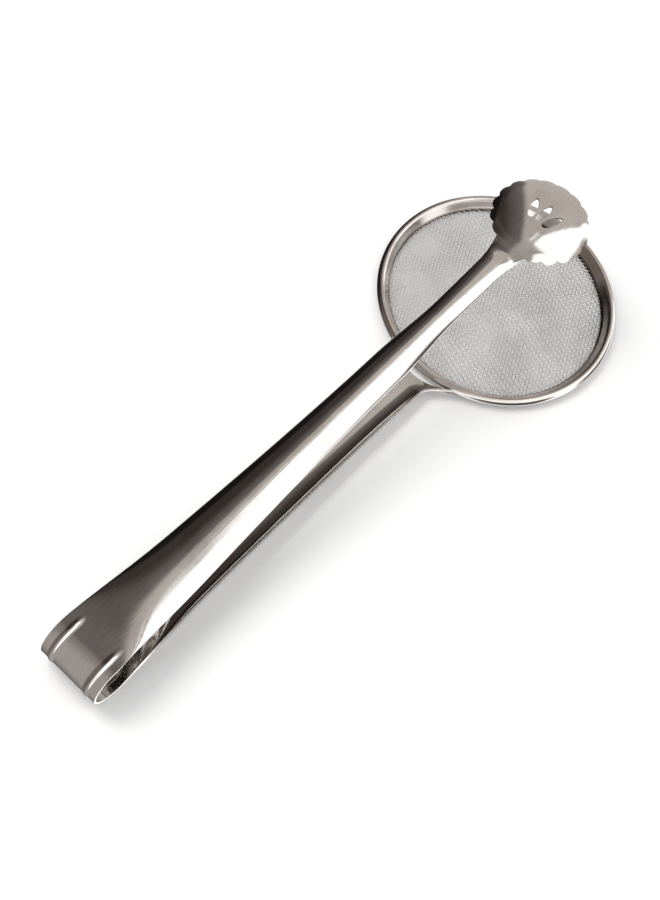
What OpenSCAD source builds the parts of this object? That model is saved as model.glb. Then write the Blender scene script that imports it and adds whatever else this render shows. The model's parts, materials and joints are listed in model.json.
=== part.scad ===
// Tong strainer of pressed stainless steel. One springy strip is folded in half: its lower
// arm carries a round mesh strainer and its upper arm ends in a domed, scalloped claw.
// +X runs from the fold to the strainer, +Y is left, +Z is up. z = 0 is the surface it
// rests on, and the origin is under the middle of the overall box.

/* [Overall] */
// Length from the back of the fold to the far side of the rim
overall_l = 290; // [240:1:350]
// Outer diameter of the strainer's rim
rim_d = 100; // [84:1:120]
// Angle between the two arms when nothing squeezes them
open_angle = 7.5; // [5:0.5:9]

/* [Strip] */
// Thickness of the strip
sheet_t = 0.8; // [0.6:0.1:1]
// Width of the strip round the fold
fold_w = 27; // [23:0.5:32]
// Outer height of the fold, ribs included
fold_h = 23.4; // [20:0.1:29]
// Width of the lower arm where it stops narrowing
low_shank_w = 17.4; // [13:0.2:21]
// Width of the upper arm where it stops narrowing
up_shank_w = 14; // [12:0.2:17]
// Distance along an arm, from the fold, over which it narrows
shank_run = 150; // [120:1:160]
// Depth of the channel pressed along each arm
channel_h = 5; // [4:0.2:6]
// Distance along an arm over which the channel deepens
channel_run = 46; // [30:1:60]

/* [Stiffening ribs] */
// Width of each rib
rib_w = 2.2; // [2:0.1:3.4]
// Height of each rib above the strip
rib_h = 0.5; // [0.3:0.1:1]
// Distance from the strip's edge to a rib
rib_inset = 3.5; // [2.5:0.1:4.5]
// Distance that a rib runs on along each arm
rib_reach = 6; // [4:1:20]

/* [Claw] */
// Width of the neck behind the claw
neck_w = 10.4; // [8.6:0.2:12]
// Diameter of the claw over the tips of its scallops
claw_d = 40; // [33:0.2:46]
// Height of the claw's dome
claw_rise = 5.4; // [3:0.1:6]
// Distance that the claw's middle lies beyond the rim's middle
claw_ahead = 8.5; // [4:0.5:12]
// Height of the dome's top over the line of the arm's crown
claw_lift = 1.6; // [0.5:0.1:2.5]
// Scallops round a full turn of the claw's edge
scallop_n = 18; // [16:1:30]
// Depth of the notches between scallops
scallop_depth = 1.2; // [0.4:0.1:1.6]
// Extra turn-down of the claw's edge
edge_drop = 1.2; // [0.4:0.1:2]

/* [Claw slots] */
// Length of each petal-shaped slot
petal_l = 10.5; // [7:0.5:11]
// Greatest width of each slot
petal_w = 3.3; // [2.6:0.1:4]
// Angle between neighbouring slots
petal_pitch = 20; // [18:1:24]
// Distance from the slots' common centre to their near ends
petal_start = 9; // [8:0.5:10]

/* [Rim] */
// Diameter of the rolled bead
bead_d = 3.4; // [2.8:0.1:4]
// Thickness of the rim's sheet
rim_t = 0.45; // [0.3:0.05:0.6]
// Height of the rim
rim_h = 5; // [4.4:0.1:6]
// Width of the rim, from its outside to the open mesh
rim_w = 5.3; // [4.8:0.1:6.5]
// Clearance between the bead's inside and its core wire
core_gap = 0.05; // [0.02:0.01:0.1]

/* [Mesh] */
// Diameter of the mesh's wires
wire_d = 0.35; // [0.3:0.05:0.5]
// Length of mesh edge that the rim holds
mesh_grip = 1.6; // [1:0.1:2]

/* [Arm end] */
// Width over the two wings that are welded to the rim
wing_w = 33; // [27:0.5:39]
// Distance along the arm over which the wings spread
wing_run = 10; // [8:0.5:12]
// Gap between the middle of the arm's end and the rim
end_gap = 1.9; // [1:0.1:3]
// Radius of a weld bead
weld_r = 0.9; // [0.6:0.1:1.2]

/* [Hidden] */

// Slit at the upper end of the fold, so that the claw arm can turn
hinge_gap = 0.25;
// Exponent of the channel's section: 2 is an ellipse, more is squarer
channel_n = 2.1;
// Points across one face of the strip
across_n = 28;
// Steps round a full turn
$fn = 96;

// Straight strip between the fold and the start of the tapers and channels
bend_lead = 2;
// Distance over which a rib runs out
rib_fade = 5;
// Where the ribs have run out, and the stations along an arm change
rib_end = 24;
// Drop of the lower channel's edges at the rim, and the distance over which they drop
edge_sink = 0.8;
sink_run = 30;
// Length of the wings' tips that is already at full width
wing_flat = 0.8;
// Distance of the neck's narrowest place behind the claw's middle
neck_back = 52;
// Distance that the neck runs in under the dome's edge
neck_tuck = 7;
// Depth of the channel where the neck meets the dome
neck_h = 1.4;
// Distance over which the neck flares to the dome, and the half width it gains
flare_run = 22;
flare_w = 5;
// Share of the claw's radius at which its edge begins to turn down
turn_share = 0.78;
// Distance of the slots' common centre behind the claw's middle
petal_back = 12.6;
// Radius at the corners of a slot
petal_round = 0.8;
// Length of the two arcs that bound a slot, as a share of the slot's own length
petal_lens = 1.22;
// Depth that a weld bites into the bead's sheet, and the angle it runs round the rim
weld_bite = 0.25;
weld_turn = 3;
// Distance of a weld's middle inside the wing's tip
weld_inset = 1.6;

rim_r = rim_d / 2;
rim_x = overall_l / 2 - rim_r;
fold_r = fold_h / 2 - rib_h;
fold_x = -overall_l / 2 + fold_h / 2;
fold_z = fold_h / 2;
rib_y = fold_w / 2 - rib_inset - rib_w / 2;

// Distances along the lower arm from the fold
low_end = rim_x - rim_r - fold_x;
wing_set = rim_r - sqrt(rim_r * rim_r - wing_w * wing_w / 4);
wing_tip = low_end + wing_set;
end_sag = wing_set + end_gap;
end_r = (wing_w * wing_w / 4 + end_sag * end_sag) / (2 * end_sag);

// Distances along the upper arm from the fold
claw_r = claw_d / 2;
claw_x = (rim_x + claw_ahead - fold_x + fold_r * sin(open_angle)) / cos(open_angle);
neck_end = claw_x - claw_r + neck_tuck;
claw_tilt = tan(open_angle);
petal_x = claw_x - petal_back;

// Heights in the rim
bead_x = rim_r - bead_d / 2;
bead_z = rim_h - bead_d / 2;
mesh_r = rim_r - rim_w;
mesh_t = 2 * wire_d;
mesh_z = rim_t;

function clamp01(u) = max(0, min(1, u));
function ease(u) = (1 - cos(180 * clamp01(u))) / 2;
function power(v, p) = sign(v) * pow(abs(v), p);

// Half width and channel depth of an arm, at a distance s from the fold
function taper(s, shank_w) =
    shank_w / 2 + (fold_w - shank_w) / 2 * pow(1 - clamp01((s - bend_lead) / shank_run), 1.5);
function deepen(s) = channel_h * ease((s - bend_lead) / channel_run);

function low_half_w(s) =
    taper(s, low_shank_w)
    + (wing_w - low_shank_w) / 2
        * pow(clamp01((s - wing_tip + wing_run) / (wing_run - wing_flat)), 1.5);
function low_depth(s) = deepen(s) - edge_sink * ease((s - low_end + sink_run) / sink_run);

function up_half_w(s) =
    taper(s, up_shank_w)
    - (up_shank_w - neck_w) / 2 * ease((s - shank_run) / (claw_x - neck_back - shank_run))
    + flare_w * pow(clamp01((s - neck_end + flare_run) / flare_run), 3);
function up_depth(s) =
    deepen(s) - (channel_h - neck_h) * ease((s - shank_run) / (neck_end - shank_run));

// Height of the ribs above the strip, at a distance s along it and y across it
function rib_bump(y) =
    abs(abs(y) - rib_y) < rib_w / 2 ? rib_h * cos(180 * (abs(y) - rib_y) / rib_w) : 0;
function rib(s, y) = rib_bump(y) * ease((rib_reach - s) / rib_fade);

// One closed loop round the strip's section: over the outside, and back along the inside
function section(s, w, h) =
    let (b = clamp01(h / (3 * sheet_t)), p = 2 / channel_n)
    concat(
        [for (i = [0 : across_n])
            let (a = 180 * i / across_n, y = w * power(cos(a), p))
            [s, y, rib(s, y) - h * (1 - power(sin(a), p))]],
        [for (i = [across_n : -1 : 0])
            let (a = 180 * i / across_n, y = (w - sheet_t * b) * power(cos(a), p))
            [s, y, rib(s, y) - sheet_t - (h - sheet_t * b) * (1 - power(sin(a), p))]]);

// A strip swept through its sections, with its crown along z = 0
module channel(loops) {
    n = len(loops[0]);
    m = len(loops);
    points = [for (loop = loops) for (p = loop) p];
    sides = [for (j = [0 : m - 2]) for (i = [0 : n - 1])
        [j * n + i, (j + 1) * n + i, (j + 1) * n + (i + 1) % n, j * n + (i + 1) % n]];
    first = [for (i = [0 : across_n - 1]) [i, i + 1, n - 2 - i, n - 1 - i]];
    last = [for (f = first) [for (k = [3 : -1 : 0]) f[k] + (m - 1) * n]];
    polyhedron(points = points, faces = concat(sides, first, last), convexity = 6);
}

// Keeps a cut shell as one watertight mesh
module as_mesh() resize([0, 0, 0]) children();

module strainer_arm() {
    stations = concat(
        [for (s = [0 : 3 : rib_end]) s],
        [for (k = [1 : 18]) rib_end + (wing_tip - wing_run - rib_end) * k / 18],
        [for (k = [1 : 10]) wing_tip - wing_run + wing_run * k / 10],
        [wing_tip + 0.5]);
    color("silver") as_mesh() difference() {
        translate([fold_x, 0, fold_z]) mirror([0, 0, 1]) translate([0, 0, fold_r])
            channel([for (s = stations) section(s, low_half_w(s), low_depth(s))]);
        // The end curves from the middle gap out to the wings' tips on the rim
        translate([fold_x + low_end - end_gap + end_r, 0, -1])
            cylinder(r = end_r, h = fold_h, $fn = 180);
    }
}

module fold_profile() {
    half = fold_w / 2;
    ys = concat([-half], [for (k = [-12 : 12]) if (abs(k) > 0)
        sign(k) * (rib_y + rib_w * (abs(k) - 6.5) / 11)], [half]);
    outer = [for (y = ys) [fold_r + rib_bump(y), y]];
    inner = [for (k = [len(ys) - 1 : -1 : 0]) [fold_r - sheet_t + rib_bump(ys[k]), ys[k]]];
    polygon(concat(outer, inner));
}

// The half turn of strip that springs the arms apart
module spring_fold() {
    turn = 180 - open_angle - hinge_gap / fold_r * 180 / PI;
    color("lightgray") translate([fold_x, 0, fold_z]) rotate([90, 0, 0])
        rotate_extrude(angle = -turn, start = 270) fold_profile();
}

// The claw's dome, as a height over the distance s along the arm and y across it
function dome(s, y) =
    let (r = norm([s - claw_x, y]), u = clamp01((r / claw_r - turn_share) / (1 - turn_share)))
    claw_lift - claw_tilt * (s - claw_x) - (claw_rise - edge_drop) * pow(r / claw_r, 2)
    - edge_drop * u * u;
function scallop(a) =
    let (u = 2 * (a * scallop_n / 360 - floor(a * scallop_n / 360)) - 1)
    claw_r - scallop_depth * pow(abs(u), 2.4);

module claw_shell() {
    n = scallop_n * 8;
    rings = 5;
    top = [for (j = [1 : rings]) for (i = [0 : n - 1])
        let (a = 360 * i / n, r = scallop(a) * j / rings,
             s = claw_x + r * cos(a), y = r * sin(a))
        [s, y, dome(s, y)]];
    under = [for (p = top) p - [0, 0, sheet_t]];
    m = len(top);
    mid = [claw_x, 0, dome(claw_x, 0)];
    points = concat(top, under, [mid, mid - [0, 0, sheet_t]]);
    spans = [for (j = [0 : rings - 2]) for (i = [0 : n - 1])
        [j * n + i, j * n + (i + 1) % n, (j + 1) * n + (i + 1) % n, (j + 1) * n + i]];
    fan = [for (i = [0 : n - 1]) [2 * m, (i + 1) % n, i]];
    edge = [for (i = [0 : n - 1]) let (a = (rings - 1) * n)
        [a + i, a + (i + 1) % n, m + a + (i + 1) % n, m + a + i]];
    faces = concat(spans, fan,
        [for (f = spans) [for (k = [3 : -1 : 0]) f[k] + m]],
        [for (f = fan) [f[2] + m, f[1] + m, 2 * m + 1]], edge);
    polyhedron(points = points, faces = faces, convexity = 6);
}

// A slot outline: two arcs that meet in a blunt tip, cut square at its near end
module petal() {
    lens_l = petal_l * petal_lens;
    arc_r = (lens_l * lens_l + petal_w * petal_w) / (4 * petal_w);
    offset(r = petal_round) offset(delta = -petal_round) intersection() {
        translate([petal_start, -petal_w]) square([petal_l, 2 * petal_w]);
        translate([petal_start + petal_l - lens_l / 2, arc_r - petal_w / 2]) circle(arc_r, $fn = 180);
        translate([petal_start + petal_l - lens_l / 2, petal_w / 2 - arc_r]) circle(arc_r, $fn = 180);
    }
}

module claw_arm() {
    stations = concat(
        [for (s = [hinge_gap : 3 : rib_end]) s],
        [for (k = [1 : 18]) rib_end + (neck_end - flare_run - rib_end) * k / 18],
        [for (k = [1 : 8]) neck_end - flare_run + flare_run * k / 8]);
    color("silver") translate([fold_x, 0, fold_z]) rotate([0, -open_angle, 0])
        translate([0, 0, fold_r]) as_mesh() difference() {
            union() {
                channel([for (s = stations) section(s, up_half_w(s), up_depth(s))]);
                claw_shell();
            }
            for (k = [-1 : 1]) translate([petal_x, 0, -claw_r]) rotate(k * petal_pitch)
                linear_extrude(2 * claw_r) petal();
        }
}

// Sheet wrapped round the core wire, with its two lips closed on the mesh's edge
module rim_section() {
    core_r = bead_d / 2 - rim_t;
    lip_z = rim_t + mesh_t;
    difference() {
        union() {
            translate([bead_x, bead_z]) circle(d = bead_d);
            polygon([[mesh_r, 0], [bead_x - 0.4, 0], [bead_x + bead_d * 0.42, bead_z - bead_d * 0.28],
                     [bead_x, bead_z], [bead_x - bead_d * 0.36, bead_z + bead_d * 0.34],
                     [mesh_r, lip_z + rim_t]]);
        }
        translate([bead_x, bead_z]) circle(r = core_r);
        polygon([[mesh_r - 1, mesh_z], [bead_x - 0.6, mesh_z], [bead_x + core_r * 0.5, bead_z - core_r * 0.5],
                 [bead_x, bead_z], [bead_x - core_r * 0.8, bead_z + core_r * 0.3],
                 [mesh_r + 0.7, lip_z], [mesh_r - 1, lip_z]]);
    }
}

module rim_band() {
    color("gainsboro") translate([rim_x, 0, 0]) rotate_extrude($fn = 180) rim_section();
}

module rim_core_wire() {
    color("dimgray") translate([rim_x, 0, bead_z]) rotate_extrude($fn = 180)
        translate([bead_x, 0]) circle(r = bead_d / 2 - rim_t - core_gap);
}

// The woven mesh, as a plain disc of its outer size
module mesh_disc() {
    color("lightslategray") translate([rim_x, 0, mesh_z])
        cylinder(r = mesh_r + mesh_grip, h = mesh_t, $fn = 180);
}

// Weld metal between the wings' tips and the bead
module wing_welds() {
    mid = asin((wing_w / 2 - weld_inset) / rim_r);
    for (side = [-1, 1]) color("darkgray") translate([rim_x, 0, bead_z])
        rotate_extrude(angle = weld_turn, start = 180 + side * mid - weld_turn / 2)
            translate([rim_r + weld_r - weld_bite, 0]) circle(r = weld_r, $fn = 32);
}

strainer_arm();
spring_fold();
claw_arm();
rim_band();
rim_core_wire();
mesh_disc();
wing_welds();
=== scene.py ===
"""Tong strainer in polished stainless steel: a springy folded strip with a domed claw on its
upper arm, and on its lower arm a round strainer of woven wire held in a rolled rim."""
import json
import math

import bmesh
import bpy
from mathutils import Matrix, Vector, noise


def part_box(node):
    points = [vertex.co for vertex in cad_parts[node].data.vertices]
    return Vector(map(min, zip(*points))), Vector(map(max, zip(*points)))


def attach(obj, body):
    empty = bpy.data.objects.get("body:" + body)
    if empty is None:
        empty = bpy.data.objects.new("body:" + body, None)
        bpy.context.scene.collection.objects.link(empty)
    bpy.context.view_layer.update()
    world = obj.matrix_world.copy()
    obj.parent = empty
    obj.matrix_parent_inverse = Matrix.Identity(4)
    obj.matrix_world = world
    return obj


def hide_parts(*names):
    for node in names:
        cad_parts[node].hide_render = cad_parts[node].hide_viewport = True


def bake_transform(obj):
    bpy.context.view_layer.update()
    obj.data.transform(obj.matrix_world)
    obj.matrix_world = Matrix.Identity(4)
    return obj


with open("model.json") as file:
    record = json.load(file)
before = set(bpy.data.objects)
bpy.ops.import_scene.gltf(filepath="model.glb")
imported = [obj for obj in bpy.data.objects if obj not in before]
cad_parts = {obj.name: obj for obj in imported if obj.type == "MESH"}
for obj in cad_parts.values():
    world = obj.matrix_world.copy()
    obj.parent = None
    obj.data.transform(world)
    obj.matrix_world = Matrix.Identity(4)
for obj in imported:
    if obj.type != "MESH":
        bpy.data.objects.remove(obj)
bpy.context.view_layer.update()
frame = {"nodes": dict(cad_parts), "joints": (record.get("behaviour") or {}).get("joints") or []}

# ---------------------------------------------------------------------------------------------
# Folded strip. One blank of 0.8 mm stainless sheet, pressed into a channel along both arms,
# ribbed and bent round at the spring fold, and domed, scalloped and pierced at the claw. It was
# tumbled and buffed along its length after pressing, so its cut edges are soft.
# ---------------------------------------------------------------------------------------------
mm = 0.001
rim_low, rim_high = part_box("rim_band")
rim_x = (rim_low.x + rim_high.x) / 2
rim_radius = (rim_high.x - rim_low.x) / 2
hinge = Vector(frame["joints"][0]["pos_m"])
fold_half_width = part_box("spring_fold")[1].y
rib_height = 0.5 * mm
fold_radius = hinge.z - rib_height
open_angle = math.radians(7.5)

strip_sheet = 0.8 * mm
low_shank, up_shank, neck_width = 17.4 * mm, 14 * mm, 10.4 * mm
channel_depth, channel_run, bend_lead, shank_run = 5 * mm, 46 * mm, 2 * mm, 150 * mm
wing_width, wing_run, wing_flat, end_gap = 33 * mm, 10 * mm, 0.8 * mm, 1.9 * mm
end_shallower, end_run = 0.8 * mm, 30 * mm
rib_width, rib_reach, rib_fade = 2.2 * mm, 6 * mm, 5 * mm
rib_y = fold_half_width - 3.5 * mm - rib_width / 2
corner = 2 / 2.1                                  # power of the channel's nearly oval section

arm_middle = rim_x - rim_radius - hinge.x          # where the rim begins, along the lower arm
wing_set = rim_radius - math.sqrt(rim_radius ** 2 - wing_width ** 2 / 4)
end_sag = wing_set + end_gap
end_radius = (wing_width ** 2 / 4 + end_sag ** 2) / (2 * end_sag)
wing_tip = arm_middle + wing_set

claw_radius = 20 * mm
claw_rise, claw_lift, edge_drop = 5.4 * mm, 1.55 * mm, 1.2 * mm
scallops, scallop_depth = 18, 1.2 * mm
claw_s = (rim_x + 8.5 * mm - hinge.x + fold_radius * math.sin(open_angle)) / math.cos(open_angle)
root_angle, front_angle = math.radians(157.5), math.radians(37.5)
root_s = claw_s + claw_radius * math.cos(root_angle)
root_half = claw_radius * math.sin(root_angle)
neck_start, neck_end, neck_depth = claw_s - 52 * mm, claw_s - claw_radius + 7 * mm, 1.4 * mm
flare_run, claw_run, claw_spread = 22 * mm, 8 * mm, 5 * mm
turn_down_from, turn_down_fade = 0.78, 6 * mm       # where the claw's edge begins to turn down

across, per_scallop = 60, 12


def limited(u):
    return max(0.0, min(1.0, u))


def eased(u):
    return (1 - math.cos(math.pi * limited(u))) / 2


def signed_power(v, p):
    return math.copysign(abs(v) ** p, v)


def tapered(s, shank):
    u = limited((s - bend_lead) / shank_run)
    return shank / 2 + (fold_half_width - shank / 2) * (1 - u) ** 1.5


def lower_half_width(s):
    u = limited((s - wing_tip + wing_run) / (wing_run - wing_flat))
    return tapered(s, low_shank) + (wing_width - low_shank) / 2 * u ** 1.5


def lower_depth(s):
    deep = channel_depth * eased((s - bend_lead) / channel_run)
    return deep - end_shallower * eased((s - arm_middle + end_run) / end_run)


def upper_half_width(s):
    drawn = eased((s - shank_run) / (neck_start - shank_run))
    narrowed = (up_shank - neck_width) / 2 * drawn
    u = limited((s - neck_end + flare_run) / flare_run)
    u_root = (root_s - neck_end + flare_run) / flare_run
    return tapered(s, up_shank) - narrowed + (root_half - neck_width / 2) * (u / u_root) ** 3


def upper_depth(s):
    deep = channel_depth * eased((s - bend_lead) / channel_run)
    return deep - (channel_depth - neck_depth) * eased((s - shank_run) / (neck_end - shank_run))


def rib_bump(y):
    off = abs(y) - rib_y
    return rib_height * math.cos(math.pi * off / rib_width) if abs(off) < rib_width / 2 else 0.0


def section(s, turn, half_width, depth):
    """A point of the channel's outside: its place across, and its height from the crown."""
    y = half_width * signed_power(math.cos(turn), corner)
    rib = rib_bump(y) * eased((rib_reach - s) / rib_fade)
    return y, rib - depth * (1 - signed_power(math.sin(turn), corner))


def claw_height(s, y):
    r = math.hypot(s - claw_s, y) / claw_radius
    turned = limited((r - turn_down_from) / (1 - turn_down_from)) ** 2
    turned *= eased((s - root_s) / turn_down_fade)
    return (claw_lift - math.tan(open_angle) * (s - claw_s)
            - (claw_rise - edge_drop) * r * r - edge_drop * turned)


def on_upper_arm(s, y, height):
    """From distance, width and height on the upper arm to the tongs' own frame."""
    out = fold_radius + height
    return Vector((hinge.x + s * math.cos(open_angle) - out * math.sin(open_angle), y,
                   hinge.z + s * math.sin(open_angle) + out * math.cos(open_angle)))


def lower_arm_point(share, column):
    turn = math.pi * column / across
    low, high = arm_middle - end_gap, wing_tip
    end_centre = arm_middle - end_gap + end_radius
    for _ in range(40):                             # where this column meets the arm's curved end
        s = (low + high) / 2
        y = section(s, turn, lower_half_width(s), 0)[0]
        past_end = s - end_centre + math.sqrt(max(0, end_radius ** 2 - y * y))
        low, high = (low, s) if past_end > 0 else (s, high)
    s = low * share
    y, height = section(s, turn, lower_half_width(s), lower_depth(s))
    return Vector((hinge.x + s, y, hinge.z - fold_radius - height))


def fold_point(angle, column):
    y = fold_half_width * signed_power(math.cos(math.pi * column / across), corner)
    r = fold_radius + rib_bump(y)
    return Vector((hinge.x - r * math.sin(angle), y, hinge.z - r * math.cos(angle)))


def claw_outline(angle):
    return Vector((claw_s + claw_radius * math.cos(angle), claw_radius * math.sin(angle)))


def claw_plan(t, column):
    """Place in plan on the claw: a patch stretched between the neck and the round edge, whose
    rim is then drawn in between the scallops."""
    u = column / across
    side = root_angle + (front_angle - root_angle) * t
    left, right = claw_outline(side), claw_outline(-side)
    root = Vector((root_s, root_half * signed_power(math.cos(math.pi * u), corner)))
    front = claw_outline(front_angle * (1 - 2 * u))
    corners = [claw_outline(a) for a in (root_angle, -root_angle, front_angle, -front_angle)]
    plan = ((1 - t) * root + t * front + (1 - u) * left + u * right
            - (1 - u) * (1 - t) * corners[0] - u * (1 - t) * corners[1]
            - (1 - u) * t * corners[2] - u * t * corners[3])
    off = plan - Vector((claw_s, 0))
    notch = abs(2 * ((math.degrees(math.atan2(off.y, off.x)) * scallops / 360) % 1) - 1) ** 2.4
    near_edge = limited((off.length / claw_radius - 0.9) / 0.1)
    return plan - off.normalized() * scallop_depth * notch * near_edge


def claw_point(s, y, turn):
    channel = section(s, turn, 1.0, upper_depth(min(s, neck_end)))[1]
    into_claw = eased((s - root_s + claw_run) / claw_run)
    return on_upper_arm(s, y, channel + (claw_height(s, y) - channel) * into_claw)


def upper_arm_point(s, column):
    turn = math.pi * column / across
    y, height = section(s, turn, upper_half_width(s), upper_depth(s))
    if s < 60 * mm:
        return on_upper_arm(s, y, height)
    root = claw_plan(0, column)
    spread = eased((s - root_s + claw_spread) / claw_spread)
    s = s + (root.x - root_s) * spread
    y = y + (root.y - root_half * signed_power(math.cos(turn), corner)) * spread
    return claw_point(s, y, turn)


petal_length, petal_width, petal_start = 10.5 * mm, 3.3 * mm, 9 * mm
petal_middle, petal_fan, petal_corner = claw_s - 12.6 * mm, math.radians(20), 0.4 * mm
lens = petal_length * 1.22                          # the slot's lens before its inner end is cut
petal_arc = (lens ** 2 + petal_width ** 2) / (4 * petal_width)
petal_bow = petal_arc - petal_width / 2
lens_middle = petal_start + petal_length - lens / 2


def off_petal(s, y):
    """Signed distance from the nearest of the claw's three slots, with rounded corners."""
    nearest = 1.0
    for side in (-1, 0, 1):
        a = petal_fan * side
        dx, dy = s - petal_middle, y
        x, w = dx * math.cos(a) + dy * math.sin(a), -dx * math.sin(a) + dy * math.cos(a)
        sides = (math.hypot(x - lens_middle, w - petal_bow) - petal_arc,
                 math.hypot(x - lens_middle, w + petal_bow) - petal_arc,
                 petal_start - x)
        top = max(sides)
        rounded = sum(math.exp((q - top) / petal_corner) for q in sides)
        nearest = min(nearest, top + petal_corner * math.log(rounded))
    return nearest


shares = [1 - 0.8 * mm * i / arm_middle for i in range(24)]     # closer rows at the wings
shares += [shares[-1] * (1 - i / 104) for i in range(1, 105)]
turns = [(math.pi - open_angle) * i / 52 for i in range(1, 53)]
runs = [root_s * i / 150 for i in range(1, 151)]
claw_rows = round((root_angle - front_angle) / math.radians(360 / scallops) * per_scallop)
rows = ([("low", v) for v in shares] + [("fold", v) for v in turns]
        + [("up", v) for v in runs] + [("claw", i / claw_rows) for i in range(1, claw_rows + 1)])


def as_object(name, bm):
    """The finished mesh as an object in the scene."""
    mesh = bpy.data.meshes.new(name)
    bm.to_mesh(mesh)
    bm.free()
    made = bpy.data.objects.new(name, mesh)
    bpy.context.scene.collection.objects.link(made)
    return made


bm = bmesh.new()
bmesh.ops.create_grid(bm, x_segments=len(rows) - 1, y_segments=across, size=0.5)
on_claw = {}
for v in bm.verts:
    part, value = rows[round((v.co.x + 0.5) * (len(rows) - 1))]
    column = round((v.co.y + 0.5) * across)
    if part == "low":
        v.co = lower_arm_point(value, column)
    elif part == "fold":
        v.co = fold_point(value, column)
    elif part == "up":
        v.co = upper_arm_point(value, column)
    else:
        plan = claw_plan(value, column)
        on_claw[v] = plan, column
        v.co = claw_point(*plan, math.pi * column / across)

pierced = [f for f in bm.faces if all(v in on_claw for v in f.verts) and off_petal(
    *(sum((on_claw[v][0] for v in f.verts), Vector((0, 0))) / len(f.verts))) < 0]
slot_edges = {v for f in pierced for v in f.verts}
bmesh.ops.delete(bm, geom=pierced, context="FACES")
for v in [v for v in slot_edges if v.is_valid and v.is_boundary]:
    (s, y), column = on_claw[v]
    for _ in range(4):                              # each point moves onto the slot's outline
        step = 0.01 * mm
        here = off_petal(s, y)
        ds, dy = (off_petal(s + step, y) - here) / step, (off_petal(s, y + step) - here) / step
        s, y = s - here * ds / (ds * ds + dy * dy), y - here * dy / (ds * ds + dy * dy)
    v.co = claw_point(s, y, math.pi * column / across)
for f in bm.faces:
    f.smooth = True
bm.normal_update()
if min(bm.faces, key=lambda f: f.calc_center_median().z).normal.z > 0:
    bmesh.ops.reverse_faces(bm, faces=bm.faces)
folded_strip = as_object("folded_strip", bm)


class Flow:
    """What a node gives, so that shader maths can be written as sums."""

    def __init__(self, finish, socket):
        self.finish, self.socket = finish, socket

    def other(self, name):
        return Flow(self.finish, self.socket.node.outputs[name])

    def maths(self, operation, a, b):
        return self.finish.node("ShaderNodeMath", {"operation": operation}, {0: a, 1: b})

    def __add__(self, other):
        return self.maths("ADD", self, other)

    def __radd__(self, other):
        return self.maths("ADD", other, self)

    def __sub__(self, other):
        return self.maths("SUBTRACT", self, other)

    def __rsub__(self, other):
        return self.maths("SUBTRACT", other, self)

    def __mul__(self, other):
        return self.maths("MULTIPLY", self, other)

    def __rmul__(self, other):
        return self.maths("MULTIPLY", other, self)


class Finish:
    """The nodes of one finish, on a material or on the room."""

    def __init__(self, owner):
        owner.use_nodes = True
        self.owner, self.tree = owner, owner.node_tree
        self.tree.nodes.clear()

    def node(self, kind, settings=None, inputs=None, give=0):
        made = self.tree.nodes.new(kind)
        for name, value in (settings or {}).items():
            if name == "stops":
                while len(made.color_ramp.elements) < len(value):
                    made.color_ramp.elements.new(0.5)
                for stop, (place, colour) in zip(made.color_ramp.elements, value):
                    stop.position, stop.color = place, colour
            else:
                setattr(made, name, value)
        for name, value in (inputs or {}).items():
            if isinstance(value, Flow):
                self.tree.links.new(value.socket, made.inputs[name])
            else:
                made.inputs[name].default_value = value
        return Flow(self, made.outputs[give]) if made.outputs else None

    def between(self, value, low, high, to_low=0.0, to_high=1.0):
        return self.node("ShaderNodeMapRange", {"interpolation_type": "SMOOTHSTEP"},
                         {0: value, 1: low, 2: high, 3: to_low, 4: to_high})

    def blend(self, factor, first, second):
        return self.node("ShaderNodeMix", {"data_type": "RGBA"},
                         {0: factor, 6: first, 7: second}, 2)

    def close(self, shader, kind="ShaderNodeOutputMaterial"):
        self.node(kind, None, {"Surface": shader})
        return self.owner


def buffed_steel(name, grain, light, dark, rough, relief):
    """Steel buffed along one direction: fine hair lines, faint clouding and a few soft marks."""
    steel = Finish(bpy.data.materials.new(name))
    place = steel.node("ShaderNodeTexCoord", give="Object")
    along = steel.node("ShaderNodeMapping", None, {0: place, 3: grain})
    hair = steel.node("ShaderNodeTexNoise", None, {"Vector": along, "Scale": 1.0, "Detail": 4.0})
    cloud = steel.node("ShaderNodeTexNoise", None, {"Vector": place, "Scale": 55.0, "Detail": 3.0})
    speck = steel.node("ShaderNodeTexNoise", None, {"Vector": place, "Scale": 900.0, "Detail": 2.0})
    colour = steel.blend(steel.between(cloud * 0.7 + hair * 0.3, 0.35, 0.65), dark, light)
    roughness = rough + (cloud - 0.5) * rough * 0.9 + (hair - 0.5) * 0.05
    height = hair * 0.7 + speck * 0.3 + cloud * 2.0
    normal = steel.node("ShaderNodeBump", None,
                        {"Strength": relief, "Distance": 0.00003, "Height": height})
    return steel.close(steel.node("ShaderNodeBsdfPrincipled", None, {
        "Base Color": colour, "Metallic": 1.0, "Roughness": roughness, "Normal": normal}))


strip_steel = buffed_steel("strip_steel", (18.0, 1500.0, 1500.0), (0.74, 0.72, 0.70, 1),
                           (0.60, 0.575, 0.555, 1), 0.085, 0.3)
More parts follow.
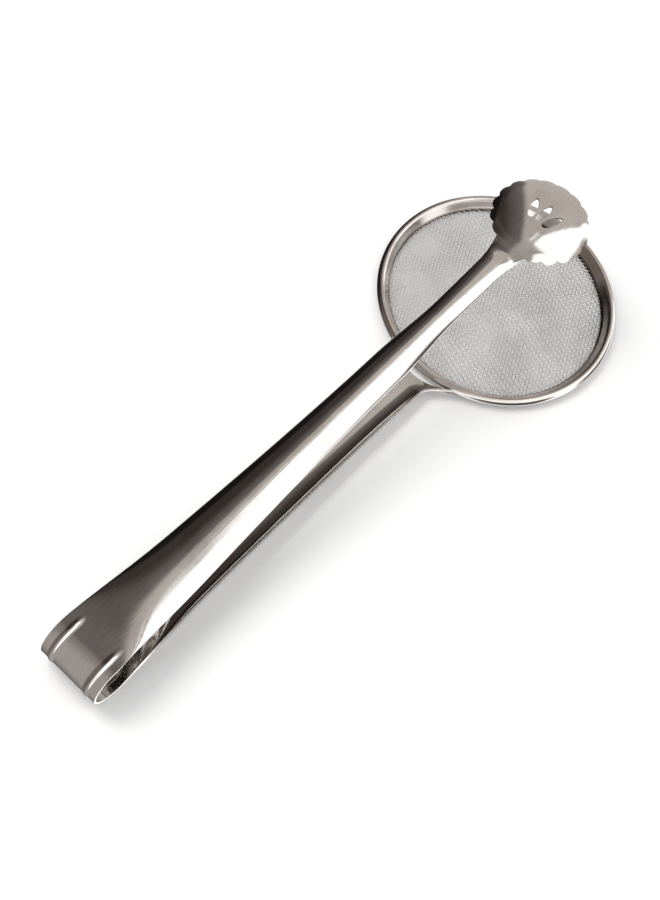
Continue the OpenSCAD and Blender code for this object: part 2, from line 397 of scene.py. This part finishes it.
# The cut edges are bright along the arms; towards the claw their colour turns dark as painted
# shade, standing in for the dark that the slot walls reflect.
sheared = Finish(bpy.data.materials.new("strip_cut_edge"))
place = sheared.node("ShaderNodeTexCoord", give="Object")
east = sheared.node("ShaderNodeSeparateXYZ", None, {0: place})
shear = sheared.node("ShaderNodeTexNoise", None,
                     {"Vector": place, "Scale": 1400.0, "Detail": 3.0})
claw_x = hinge.x + claw_s * math.cos(open_angle)
# Painted shade: the cut-edge colour fades to dark from 34 mm to 24 mm before the claw's middle.
painted_claw_edge_shade = sheared.between(east, claw_x - 34 * mm, claw_x - 24 * mm)
colour = sheared.blend(painted_claw_edge_shade, (0.80, 0.79, 0.78, 1), (0.20, 0.18, 0.17, 1))
normal = sheared.node("ShaderNodeBump", None,
                      {"Strength": 0.2, "Distance": 0.00003, "Height": shear})
cut_edge = sheared.close(sheared.node("ShaderNodeBsdfPrincipled", None, {
    "Base Color": colour, "Metallic": 1.0, "Roughness": 0.26 + (shear - 0.5) * 0.1,
    "Normal": normal}))
folded_strip.data.materials.append(strip_steel)
folded_strip.data.materials.append(cut_edge)
wall = folded_strip.modifiers.new("sheet", "SOLIDIFY")
wall.thickness, wall.offset = strip_sheet, -1
wall.material_offset_rim = 1
soft_edge = folded_strip.modifiers.new("soft_edges", "BEVEL")
soft_edge.width, soft_edge.segments, soft_edge.limit_method = 0.16 * mm, 2, "ANGLE"
soft_edge.angle_limit, soft_edge.harden_normals = math.radians(50), True

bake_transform(folded_strip)
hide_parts("strainer_arm", "spring_fold", "claw_arm")

# ---------------------------------------------------------------------------------------------
# Rim. A ring of thin stainless sheet, rolled round a wire to make the bead at its top, with its
# two lips pressed flat over and under the mesh's edge to hold it.
# ---------------------------------------------------------------------------------------------
rim_sheet, bead_radius = 0.45 * mm, 1.7 * mm
bead_at = Vector((rim_radius - bead_radius, rim_high.z - bead_radius))
mesh_edge = rim_radius - 5.3 * mm
mesh_depth = 0.7 * mm
profile = [Vector((mesh_edge, 2 * rim_sheet + mesh_depth)),
           Vector((mesh_edge + 0.5 * mm, 2 * rim_sheet + mesh_depth + 0.45 * mm))]
upper, lower = math.radians(136.6), math.radians(-33.7)
bead = [bead_at + bead_radius * Vector((math.cos(a), math.sin(a)))
        for a in [upper + (lower - upper) * i / 30 for i in range(31)]]
profile += [profile[1].lerp(bead[0], i / 5) for i in range(1, 5)] + bead
foot = Vector((bead_at.x - 0.4 * mm, 0))
profile += [bead[-1].lerp(foot, i / 4) for i in range(1, 4)]
profile += [foot + Vector((0.12 * mm, 0.35 * mm)), foot - Vector((0.25 * mm, 0)),
            Vector((mesh_edge, 0))]

bm = bmesh.new()
ring = [bm.verts.new((rim_x + p.x, 0, p.y)) for p in profile]
lines = [bm.edges.new(pair) for pair in zip(ring, ring[1:])]
bmesh.ops.spin(bm, geom=ring + lines, cent=(rim_x, 0, 0), axis=(0, 0, 1), angle=2 * math.pi,
               steps=288, use_merge=True)
bmesh.ops.remove_doubles(bm, verts=bm.verts, dist=0.005 * mm)
for f in bm.faces:
    f.smooth = True
bm.normal_update()
if max(bm.faces, key=lambda f: f.calc_center_median().z).normal.z < 0:
    bmesh.ops.reverse_faces(bm, faces=bm.faces)
rolled_rim = as_object("rolled_rim", bm)
wall = rolled_rim.modifiers.new("sheet", "SOLIDIFY")
wall.thickness, wall.offset, wall.use_even_offset = rim_sheet, -1, True
soft_edge = rolled_rim.modifiers.new("soft_edges", "BEVEL")
soft_edge.width, soft_edge.segments, soft_edge.limit_method = 0.08 * mm, 2, "ANGLE"
soft_edge.angle_limit, soft_edge.harden_normals = math.radians(40), True


def turned_steel(name, light, dark, rough):
    """Steel polished on a lathe: hair lines round the rim's own middle, and soft clouding."""
    steel = Finish(bpy.data.materials.new(name))
    place = steel.node("ShaderNodeTexCoord", give="Object")
    centred = steel.node("ShaderNodeVectorMath", {"operation": "SUBTRACT"},
                         {0: place, 1: (rim_x, 0, 0)})
    radius = steel.node("ShaderNodeVectorMath", {"operation": "LENGTH"}, {0: centred}, 1)
    height = steel.node("ShaderNodeSeparateXYZ", None, {0: place}, 2)
    spot = steel.node("ShaderNodeCombineXYZ", None, {0: radius * 2600, 1: height * 2600})
    hair = steel.node("ShaderNodeTexNoise", None, {"Vector": spot, "Scale": 1.0, "Detail": 3.0})
    cloud = steel.node("ShaderNodeTexNoise", None, {"Vector": place, "Scale": 70.0, "Detail": 3.0})
    # The rim's colour turns darker and browner towards the bottom, below 2.4 mm.
    darker_towards_bottom = steel.between(height, 0.0008, 0.0024, 0.82, 1.0)
    colour = steel.blend(steel.between(cloud, 0.35, 0.65), dark, light)
    shaded = steel.blend(darker_towards_bottom, (0.36, 0.31, 0.28, 1), colour)
    # Painted shade: a thin dark line on the lip just outside where the mesh enters it.
    painted_lip_shade = steel.between(radius, mesh_edge + 0.8 * mm, mesh_edge + 0.3 * mm, 0.0, 0.8)
    shaded = steel.blend(painted_lip_shade, shaded, (0.13, 0.11, 0.10, 1))
    normal = steel.node("ShaderNodeBump", None, {"Strength": 0.4, "Distance": 0.00003,
                                                 "Height": hair + cloud * 2.0})
    return steel.close(steel.node("ShaderNodeBsdfPrincipled", None, {
        "Base Color": shaded, "Metallic": 1.0, "Normal": normal,
        "Roughness": rough + (cloud - 0.5) * rough + (hair - 0.5) * 0.06}))


rolled_rim.data.materials.append(turned_steel(
    "rim_steel", (0.72, 0.69, 0.66, 1), (0.56, 0.52, 0.49, 1), 0.19))
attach(rolled_rim, "strainer")
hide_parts("rim_band")

# ---------------------------------------------------------------------------------------------
# Core wire. Plain drawn steel wire that the rim's sheet is rolled round. It is shut in, so it
# keeps the drawn wire's dull grey.
# ---------------------------------------------------------------------------------------------
core_wire = frame["nodes"]["rim_core_wire"]
core_wire.data.materials.clear()
core_wire.data.materials.append(turned_steel(
    "drawn_wire", (0.50, 0.49, 0.48, 1), (0.36, 0.35, 0.34, 1), 0.34))

# ---------------------------------------------------------------------------------------------
# Woven mesh. Stainless wire 0.35 mm thick in a plain weave, cut to a disc. Each wire bends over
# and under those that it crosses. The rim's lips grip its edge.
# ---------------------------------------------------------------------------------------------
wire_radius, pitch, weave_turn = 0.175 * mm, 1.43 * mm, math.radians(28)
weave_radius = mesh_edge + 1.25 * mm
weave_z = rim_sheet + mesh_depth / 2
wires = int(weave_radius / pitch)


def woven_wires(name, turn, lift):
    """All the wires that run one way: each a tube that rises and dips at its crossings."""
    bm = bmesh.new()
    spin = Matrix.Rotation(turn, 3, "Z")
    for wire in range(-wires, wires + 1):
        aside = wire * pitch
        reach = math.sqrt(max(0.0, weave_radius ** 2 - aside ** 2))
        crossings = int(reach / pitch)
        if crossings < 2:
            continue
        pieces = 4 * crossings
        tube = bmesh.ops.create_grid(bm, x_segments=pieces, y_segments=6, size=0.5)["verts"]
        for v in tube:
            x = v.co.x * 2 * crossings * pitch
            a = (v.co.y + 0.5) * 2 * math.pi
            sway = 0.03 * mm * noise.noise(Vector((x * 60, aside * 400, turn * 9)))
            rise = lift * (-1) ** wire * wire_radius * math.cos(math.pi * x / pitch)
            here = spin @ Vector((x, aside + sway + wire_radius * math.sin(a), 0))
            v.co = (rim_x + here.x, here.y, weave_z + rise + 0.96 * wire_radius * math.cos(a))
    bmesh.ops.remove_doubles(bm, verts=bm.verts, dist=0.002 * mm)
    bmesh.ops.holes_fill(bm, edges=[e for e in bm.edges if e.is_boundary], sides=8)
    bmesh.ops.recalc_face_normals(bm, faces=bm.faces)
    for f in bm.faces:
        f.smooth = True
    return as_object(name, bm)


wire_steel = Finish(bpy.data.materials.new("mesh_wire_steel"))
place = wire_steel.node("ShaderNodeTexCoord", give="Object")
stain = wire_steel.node("ShaderNodeTexNoise", None,
                        {"Vector": place, "Scale": 45.0, "Detail": 4.0})
grain = wire_steel.node("ShaderNodeTexNoise", None,
                        {"Vector": place, "Scale": 2600.0, "Detail": 2.0})
colour = wire_steel.blend(wire_steel.between(stain, 0.38, 0.62), (0.66, 0.64, 0.62, 1),
                          (0.84, 0.83, 0.82, 1))
normal = wire_steel.node("ShaderNodeBump", None, {"Strength": 0.3, "Distance": 0.00002,
                                                  "Height": grain})
wire_steel.close(wire_steel.node("ShaderNodeBsdfPrincipled", None, {
    "Base Color": colour, "Metallic": 1.0, "Roughness": 0.29 + (stain - 0.5) * 0.12,
    "Normal": normal}))
for name, turn, lift in (("mesh_warp", weave_turn, 1),
                         ("mesh_weft", weave_turn + math.pi / 2, -1)):
    wires_one_way = woven_wires(name, turn, lift)
    wires_one_way.data.materials.append(wire_steel.owner)
    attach(wires_one_way, "strainer")
    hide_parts("mesh_disc")

# ---------------------------------------------------------------------------------------------
# Welds. Two small beads of weld metal fix the tips of the arm's wings to the rim's bead, with
# the straw and blue of the heat round them.
# ---------------------------------------------------------------------------------------------
bm = bmesh.new()
weld_radius, weld_inset, weld_out = 0.8 * mm, 1.6 * mm, 0.5 * mm
weld_at = math.asin((wing_width / 2 - weld_inset) / rim_radius)
for side in (-1, 1):
    angle = math.pi + side * weld_at
    bead_verts = bmesh.ops.create_icosphere(bm, subdivisions=4, radius=weld_radius)["verts"]
    bmesh.ops.scale(bm, verts=bead_verts, vec=(1.0, 1.6, 0.95))
    for v in bead_verts:
        ripple = 0.05 * mm * math.sin(v.co.y / mm * 9)
        lump = 0.10 * mm * noise.noise(v.co * 1800 + Vector((side * 5, 0, 0)))
        v.co += v.co.normalized() * (ripple + lump)
    bmesh.ops.rotate(bm, verts=bead_verts, cent=(0, 0, 0), matrix=Matrix.Rotation(angle, 3, "Z"))
    out = rim_radius + weld_out
    bmesh.ops.translate(bm, verts=bead_verts, vec=(
        rim_x + out * math.cos(angle), out * math.sin(angle), bead_at.y))
for f in bm.faces:
    f.smooth = True
weld_beads = as_object("weld_beads", bm)
weld = Finish(bpy.data.materials.new("weld_metal"))
place = weld.node("ShaderNodeTexCoord", give="Object")
heat = weld.node("ShaderNodeTexNoise", None, {"Vector": place, "Scale": 700.0, "Detail": 3.0})
tint = weld.node("ShaderNodeValToRGB", {"stops": [
    (0.34, (0.26, 0.24, 0.27, 1)), (0.5, (0.45, 0.38, 0.30, 1)), (0.66, (0.58, 0.55, 0.52, 1))]},
    {0: heat})
normal = weld.node("ShaderNodeBump", None,
                   {"Strength": 0.5, "Distance": 0.00005, "Height": heat})
weld_beads.data.materials.append(weld.close(weld.node("ShaderNodeBsdfPrincipled", None, {
    "Base Color": tint, "Metallic": 1.0, "Roughness": 0.32 + (heat - 0.5) * 0.3,
    "Normal": normal})))
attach(weld_beads, "strainer")
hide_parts("wing_welds")

# ---------------------------------------------------------------------------------------------
# Table top. A plain pale surface for the tongs to lie on. It isn't part of them.
# ---------------------------------------------------------------------------------------------
bm = bmesh.new()
bmesh.ops.create_grid(bm, x_segments=1, y_segments=1, size=20.0)
table_top = as_object("table_top", bm)
table_top.location.z = -0.0001
pale = Finish(bpy.data.materials.new("pale_table"))
place = pale.node("ShaderNodeTexCoord", give="Object")
mottle = pale.node("ShaderNodeTexNoise", None, {"Vector": place, "Scale": 9.0, "Detail": 3.0})
table_top.data.materials.append(pale.close(pale.node("ShaderNodeBsdfPrincipled", None, {
    "Base Color": pale.blend(mottle, (0.90, 0.90, 0.90, 1), (0.94, 0.94, 0.94, 1)),
    "Roughness": 0.7, "Specular IOR Level": 0.2})))
table_top.visible_glossy = False

# ---------------------------------------------------------------------------------------------
# Room. Soft studio light: a dark screen beyond the tongs' left side, warm grey walls, and a
# bright screen along their right side with grey below it but for one bright strip. A broad lamp
# high on the left casts the shadows.
# ---------------------------------------------------------------------------------------------
room = bpy.data.worlds.new("studio_room")
bpy.context.scene.world = room
walls = Finish(room)
look = walls.node("ShaderNodeTexCoord", give="Generated")
east = walls.node("ShaderNodeSeparateXYZ", None, {0: look})
north, above = east.other(1), east.other(2)
ahead = walls.between(east, 0.07, 0.15)
beyond = walls.node("ShaderNodeMath", {"operation": "MAXIMUM"}, {0: east - 0.3, 1: 0.0})
bright_side = walls.between(north + beyond * 0.3, -0.005, -0.04) * ahead
low_south = walls.between(north, -0.22, -0.34)
gap = walls.between(east, 0.02, 0.12) * walls.between(east, 0.46, 0.36)
far_south = walls.between(north, -0.4, -0.58) * walls.between(above, 0.55, 0.3) * (1 - gap)
bright_screen = (bright_side + low_south - bright_side * low_south) * (1 - far_south)
screen_edge = (walls.between(north, 0.075, 0.055) * walls.between(north, 0.02, 0.035)
               * ahead * walls.between(east, 0.36, 0.26))
east_only = walls.node("ShaderNodeMath", {"operation": "MAXIMUM"}, {0: east, 1: 0.0})
leaning = north + east * 0.15 - east_only * 0.75
dark_screen = (walls.between(leaning, 0.09, 0.19) * 0.78
               + walls.between(leaning, 0.18, 0.5) * 0.22)
dark = walls.blend(walls.between(east, 0.05, -0.35), (0.055, 0.041, 0.039, 1),
                   (0.20, 0.165, 0.145, 1))
warm_grey = walls.blend(walls.between(east, -0.2, 0.25), (0.46, 0.425, 0.40, 1),
                        (0.60, 0.555, 0.515, 1))
warm_grey = walls.blend(far_south * walls.between(above, 0.3, 0.05), warm_grey,
                        (0.10, 0.09, 0.085, 1))
shade = walls.blend(bright_screen, warm_grey, (1.7, 1.7, 1.7, 1))
shade = walls.blend(screen_edge, shade, (1.2, 1.2, 1.2, 1))
shade = walls.blend(dark_screen, shade, dark)
shade = walls.blend(walls.between(north, 0.8, 0.9), shade, (0.012, 0.010, 0.010, 1))
mirrored = walls.node("ShaderNodeLightPath", give="Is Glossy Ray")
seen = mirrored.other("Is Camera Ray")
plain = walls.blend(seen, (0.86, 0.86, 0.86, 1), (0.97, 0.97, 0.97, 1))
walls.close(walls.node("ShaderNodeBackground", None, {
    "Color": walls.blend(mirrored, plain, shade), "Strength": 1.0}), "ShaderNodeOutputWorld")


def soft_lamp(name, place, aim, size, power, tint):
    lamp = bpy.data.lights.new(name, "AREA")
    lamp.shape, lamp.size, lamp.energy, lamp.color = "DISK", size, power, tint
    made = bpy.data.objects.new(name, lamp)
    made.location = place
    made.rotation_euler = (Vector(aim) - Vector(place)).to_track_quat("-Z", "Y").to_euler()
    made.visible_glossy = False
    bpy.context.scene.collection.objects.link(made)


soft_lamp("high_lamp", (-0.25, 0.75, 1.15), (0, 0, 0), 0.8, 10, (1.0, 0.99, 0.97))

# ---------------------------------------------------------------------------------------------
# Camera. It looks down along the tongs from behind the fold, turned a little about its own line
# of sight, so that the strainer stands at the top right.
# ---------------------------------------------------------------------------------------------
eye = Vector((-0.2980, -0.1436, 0.6096))
forward = Vector((0.4228, 0.2078, -0.8821)).normalized()
right = Vector((0.6747, -0.722, 0.1533))
right = (right - forward * right.dot(forward)).normalized()
up = right.cross(forward)
camera = bpy.data.objects.new("camera", bpy.data.cameras.new("camera"))
camera.data.lens, camera.data.sensor_width = 71.2, 36
camera.data.clip_start, camera.data.clip_end = 0.01, 20
camera.matrix_world = Matrix.LocRotScale(
    eye, Matrix((right, up, -forward)).transposed(), None)
bpy.context.scene.collection.objects.link(camera)
bpy.context.scene.camera = camera
bpy.context.scene.view_settings.view_transform = "Standard"
